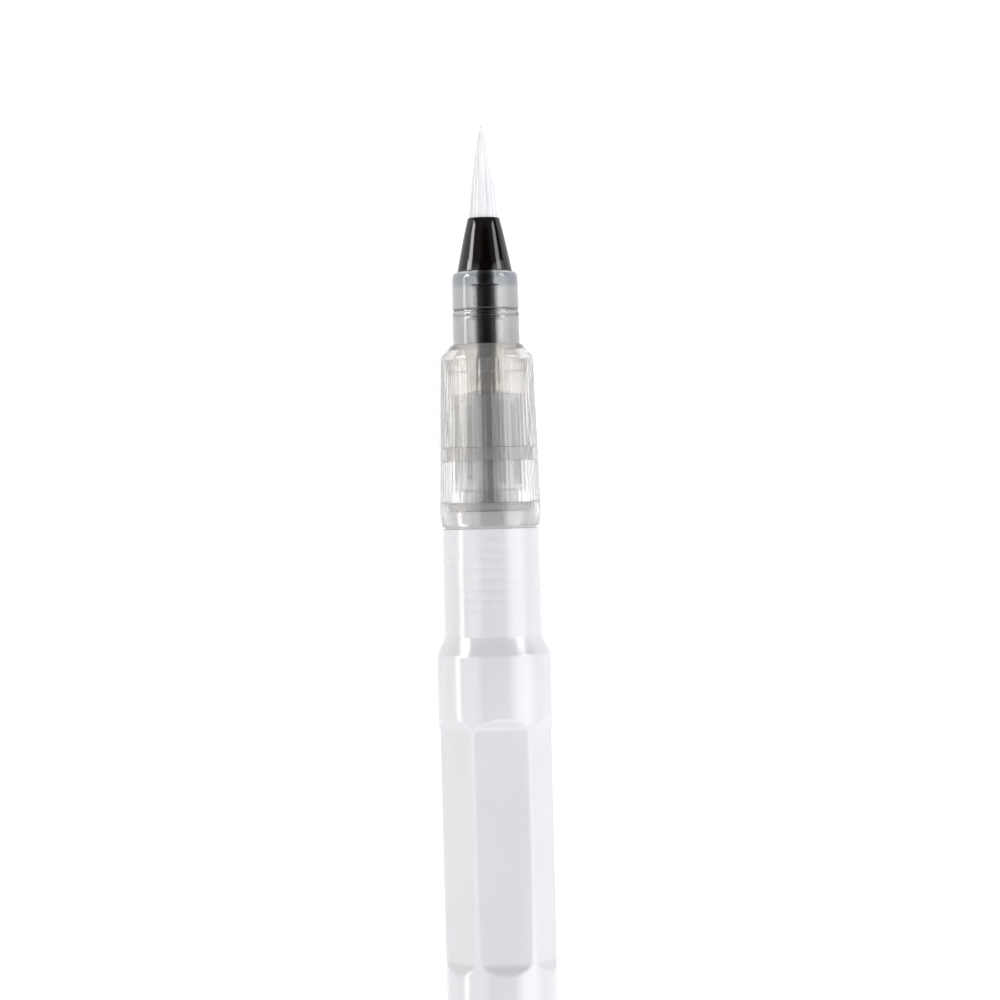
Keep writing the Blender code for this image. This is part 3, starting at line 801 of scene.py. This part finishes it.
def camera():
    """Straight above the pen, turned a little about its axis, so that the tip points up the picture."""
    data = bpy.data.cameras.new("camera")
    data.lens = LENS
    data.sensor_width = 36.0
    towards = Vector((-math.sin(TURN), 0.0, math.cos(TURN)))
    along = Vector((0.0, 1.0, 0.0))
    side = along.cross(towards)
    up = along * math.cos(LEAN) + side * math.sin(LEAN)
    right = side * math.cos(LEAN) - along * math.sin(LEAN)
    distance = VIEW_WIDTH * MM * LENS / data.sensor_width
    target = Vector(world(0.0, 0.0, VIEW_STATION)) + right * VIEW_SIDE * MM
    obj = bpy.data.objects.new("camera", data)
    turn = Matrix((right, up, towards)).transposed().to_4x4()
    obj.matrix_world = Matrix.Translation(target + towards * distance) @ turn
    data.clip_start = distance * 0.01
    data.clip_end = distance * 100
    bpy.context.scene.collection.objects.link(obj)
    bpy.context.scene.camera = obj


def softbox(name, angle, distance, width, length, power, station=60.0, colour=(1.0, 1.0, 1.0)):
    """A softbox that faces the pen's axis at a station, from that angle off the vertical in
    degrees, positive to the right. Distance and sizes are in metres, and power is in watts."""
    data = bpy.data.lights.new(name, "AREA")
    data.shape = "RECTANGLE"
    data.size = width
    data.size_y = length
    data.energy = power
    data.color = colour
    towards = Vector((math.sin(math.radians(angle)), 0.0, math.cos(math.radians(angle))))
    along = Vector((0.0, 1.0, 0.0))
    obj = bpy.data.objects.new(name, data)
    obj.location = Vector(world(0.0, 0.0, station)) + towards * distance
    across = along.cross(towards).normalized()
    obj.rotation_euler = Matrix((across, along, towards)).transposed().to_euler()
    obj.visible_camera = False
    bpy.context.scene.collection.objects.link(obj)
    return obj


def sky():
    """Soft light from all round the room, with a dark ceiling and a dark wall ahead of the tip,
    which keep the black ferrule and the rod in the nozzle black."""
    data = bpy.data.worlds.new("studio")
    data.use_nodes = True
    nodes, links = data.node_tree.nodes, data.node_tree.links
    background = nodes["Background"]
    direction = nodes.new("ShaderNodeTexCoord")
    parts = nodes.new("ShaderNodeSeparateXYZ")
    links.new(direction.outputs["Generated"], parts.inputs["Vector"])
    by_height = nodes.new("ShaderNodeValToRGB")
    horizon = [(0.0, (0.18, 0.17, 0.165)), (0.22, (0.22, 0.21, 0.2))]
    walls = [(0.38, (0.98, 0.98, 0.98)), (0.76, (0.97, 0.98, 1.0))]
    ceiling = [(0.86, (0.02, 0.02, 0.021))]
    fill_ramp(by_height, horizon + walls + ceiling)
    links.new(parts.outputs["Z"], by_height.inputs["Fac"])
    links.new(by_height.outputs["Color"], background.inputs["Color"])
    ahead = nodes.new("ShaderNodeMapRange")
    ahead.inputs["From Min"].default_value = 0.24
    ahead.inputs["From Max"].default_value = 0.36
    ahead.inputs["To Min"].default_value = 2.0
    ahead.inputs["To Max"].default_value = 0.3
    links.new(parts.outputs["Y"], ahead.inputs["Value"])
    links.new(ahead.outputs["Result"], background.inputs["Strength"])
    return data


def studio():
    """The floor, the sky and the softboxes."""
    scene = bpy.context.scene
    scene.view_settings.view_transform = "Standard"
    size = 6.0
    corners = [(-size, -size, 0), (size, -size, 0), (size, size, 0), (-size, size, 0)]
    floor = object_from("floor", corners, [(0, 1, 2, 3)], studio_white())
    floor.location.z = -0.00005  # just clear of the pen, which lies on it
    scene.world = sky()
    softbox("left_strip", -94, 0.5, 0.26, 0.45, 2.3, colour=(1.0, 0.98, 0.95))
    softbox("right_strip", 56, 0.5, 0.6, 0.45, 1.4, colour=(0.97, 0.98, 1.0))
    warm = (1.0, 0.96, 0.93)
    keys = [
        softbox("left_key", -77, 0.5, 0.17, 0.22, 1.76, station=-195.0, colour=warm),
        softbox("right_key", 59, 0.5, 0.17, 0.22, 0.78, station=-200.0),
    ]
    for key in keys:
        key.visible_diffuse = False  # they are there for gloss, such as the ferrule's streaks
    fill = softbox("overhead_fill", 0, 1.0, 0.8, 0.8, 4.0)
    fill.visible_glossy = False
    fill.visible_transmission = False


tuft()
tuft_root()
ferrule()
nozzle()
feed_core()
regulator()
grip()
collar()
seal_ring()
barrel()
cap()
inner_seal()
camera()
studio()
